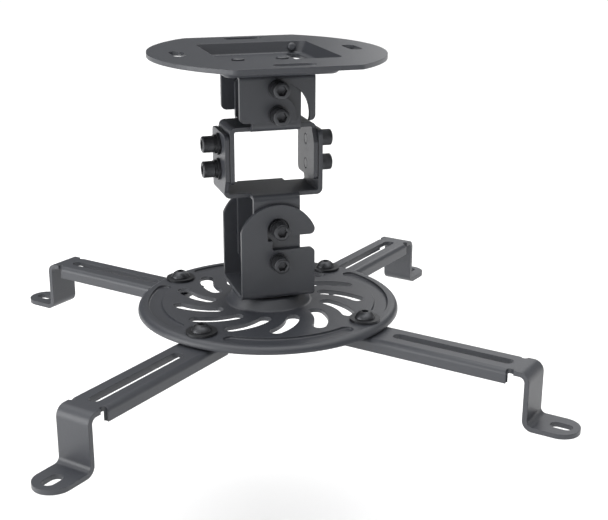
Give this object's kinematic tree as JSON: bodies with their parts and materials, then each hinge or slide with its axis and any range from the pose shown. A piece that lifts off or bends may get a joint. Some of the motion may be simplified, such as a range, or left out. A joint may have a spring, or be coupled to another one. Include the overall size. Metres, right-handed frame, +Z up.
{
  "type": "projector ceiling mount",
  "caption": "Folded steel ceiling mount for a projector: slotted plate, tilting link brackets, turning slotted disc and swinging slotted arms with feet.",
  "frame": {"origin": "centre of the ceiling plate's top face, midway between its four screw slots", "axes": "+Z up into the ceiling, +X along the plate's flat edges, +Y towards the rear"},
  "size_m": [0.2412, 0.2412, 0.1484],
  "materials": {
    "powder_coated_steel": "fine satin powder coat, charcoal",
    "blackened_screws": "black oxide, semi-gloss",
    "blackened_washers": "black oxide, semi-gloss",
    "coated_rivets": "satin powder coat",
    "zinc_fasteners": "black zinc",
    "friction_nylon": "black nylon"
  },
  "bodies": {
    "ceiling": {"ceiling_plate": "powder_coated_steel", "bracket_rivets": "coated_rivets", "pan_screw": "coated_rivets", "ceiling_bracket": "powder_coated_steel"},
    "upper_link": {"upper_link_bracket": "powder_coated_steel", "upper_pivot_screws": "blackened_screws", "upper_slot_screws": "blackened_screws", "upper_lock_washers": "blackened_washers", "side_pivot_screws": "blackened_screws", "side_slot_screws": "blackened_screws", "side_flat_washers": "blackened_washers", "side_lock_washers": "blackened_washers"},
    "lower_link": {"lower_link_bracket": "powder_coated_steel", "lower_pivot_screws": "blackened_screws", "hook_screws": "blackened_screws", "lower_lock_washers": "blackened_washers"},
    "swivel": {"swivel_bracket": "powder_coated_steel"},
    "disc": {"friction_washer": "friction_nylon", "swivel_bolt": "zinc_fasteners", "swivel_washer": "blackened_washers", "swivel_nut": "zinc_fasteners", "base_disc": "powder_coated_steel", "rear_right_clamp_screw": "blackened_screws", "rear_right_top_washer": "blackened_washers", "rear_right_spacer_washer": "blackened_washers", "rear_right_lower_washer": "blackened_washers", "rear_right_clamp_nut": "zinc_fasteners", "rear_left_clamp_screw": "blackened_screws", "rear_left_top_washer": "blackened_washers", "rear_left_spacer_washer": "blackened_washers", "rear_left_lower_washer": "blackened_washers", "rear_left_clamp_nut": "zinc_fasteners", "front_left_clamp_screw": "blackened_screws", "front_left_top_washer": "blackened_washers", "front_left_spacer_washer": "blackened_washers", "front_left_lower_washer": "blackened_washers", "front_left_clamp_nut": "zinc_fasteners", "front_right_clamp_screw": "blackened_screws", "front_right_top_washer": "blackened_washers", "front_right_spacer_washer": "blackened_washers", "front_right_lower_washer": "blackened_washers", "front_right_clamp_nut": "zinc_fasteners"},
    "rear_right_arm": {"rear_right_arm": "powder_coated_steel"},
    "rear_left_arm": {"rear_left_arm": "powder_coated_steel"},
    "front_left_arm": {"front_left_arm": "powder_coated_steel"},
    "front_right_arm": {"front_right_arm": "powder_coated_steel"}
  },
  "joints": [
    {"name": "upper_tilt", "type": "hinge", "parent": "ceiling", "child": "upper_link", "pos_m": [0, 0, -0.0258], "axis": [0, 1, 0], "range_deg": [0, 45]},
    {"name": "side_tilt", "type": "hinge", "parent": "upper_link", "child": "lower_link", "pos_m": [0, 0, -0.0527], "axis": [1, 0, 0], "range_deg": [-15, 15]},
    {"name": "lower_tilt", "type": "hinge", "parent": "lower_link", "child": "swivel", "pos_m": [0, 0, -0.094], "axis": [0, 1, 0], "range_deg": [-8, 8]},
    {"name": "swivel_turn", "type": "hinge", "parent": "swivel", "child": "disc", "pos_m": [0, 0, -0.11165], "axis": [0, 0, 1], "continuous": true},
    {"name": "rear_right_arm_swing", "type": "hinge", "parent": "disc", "child": "rear_right_arm", "pos_m": [0.04012, 0.03463, -0.1224], "axis": [0, 0, 1], "range_deg": [-45, 45]},
    {"name": "rear_left_arm_swing", "type": "hinge", "parent": "disc", "child": "rear_left_arm", "pos_m": [-0.03463, 0.04012, -0.1224], "axis": [0, 0, 1], "range_deg": [-45, 45]},
    {"name": "front_left_arm_swing", "type": "hinge", "parent": "disc", "child": "front_left_arm", "pos_m": [-0.04012, -0.03463, -0.1224], "axis": [0, 0, 1], "range_deg": [-45, 45]},
    {"name": "front_right_arm_swing", "type": "hinge", "parent": "disc", "child": "front_right_arm", "pos_m": [0.03463, -0.04012, -0.1224], "axis": [0, 0, 1], "range_deg": [-45, 45]}
  ]
}
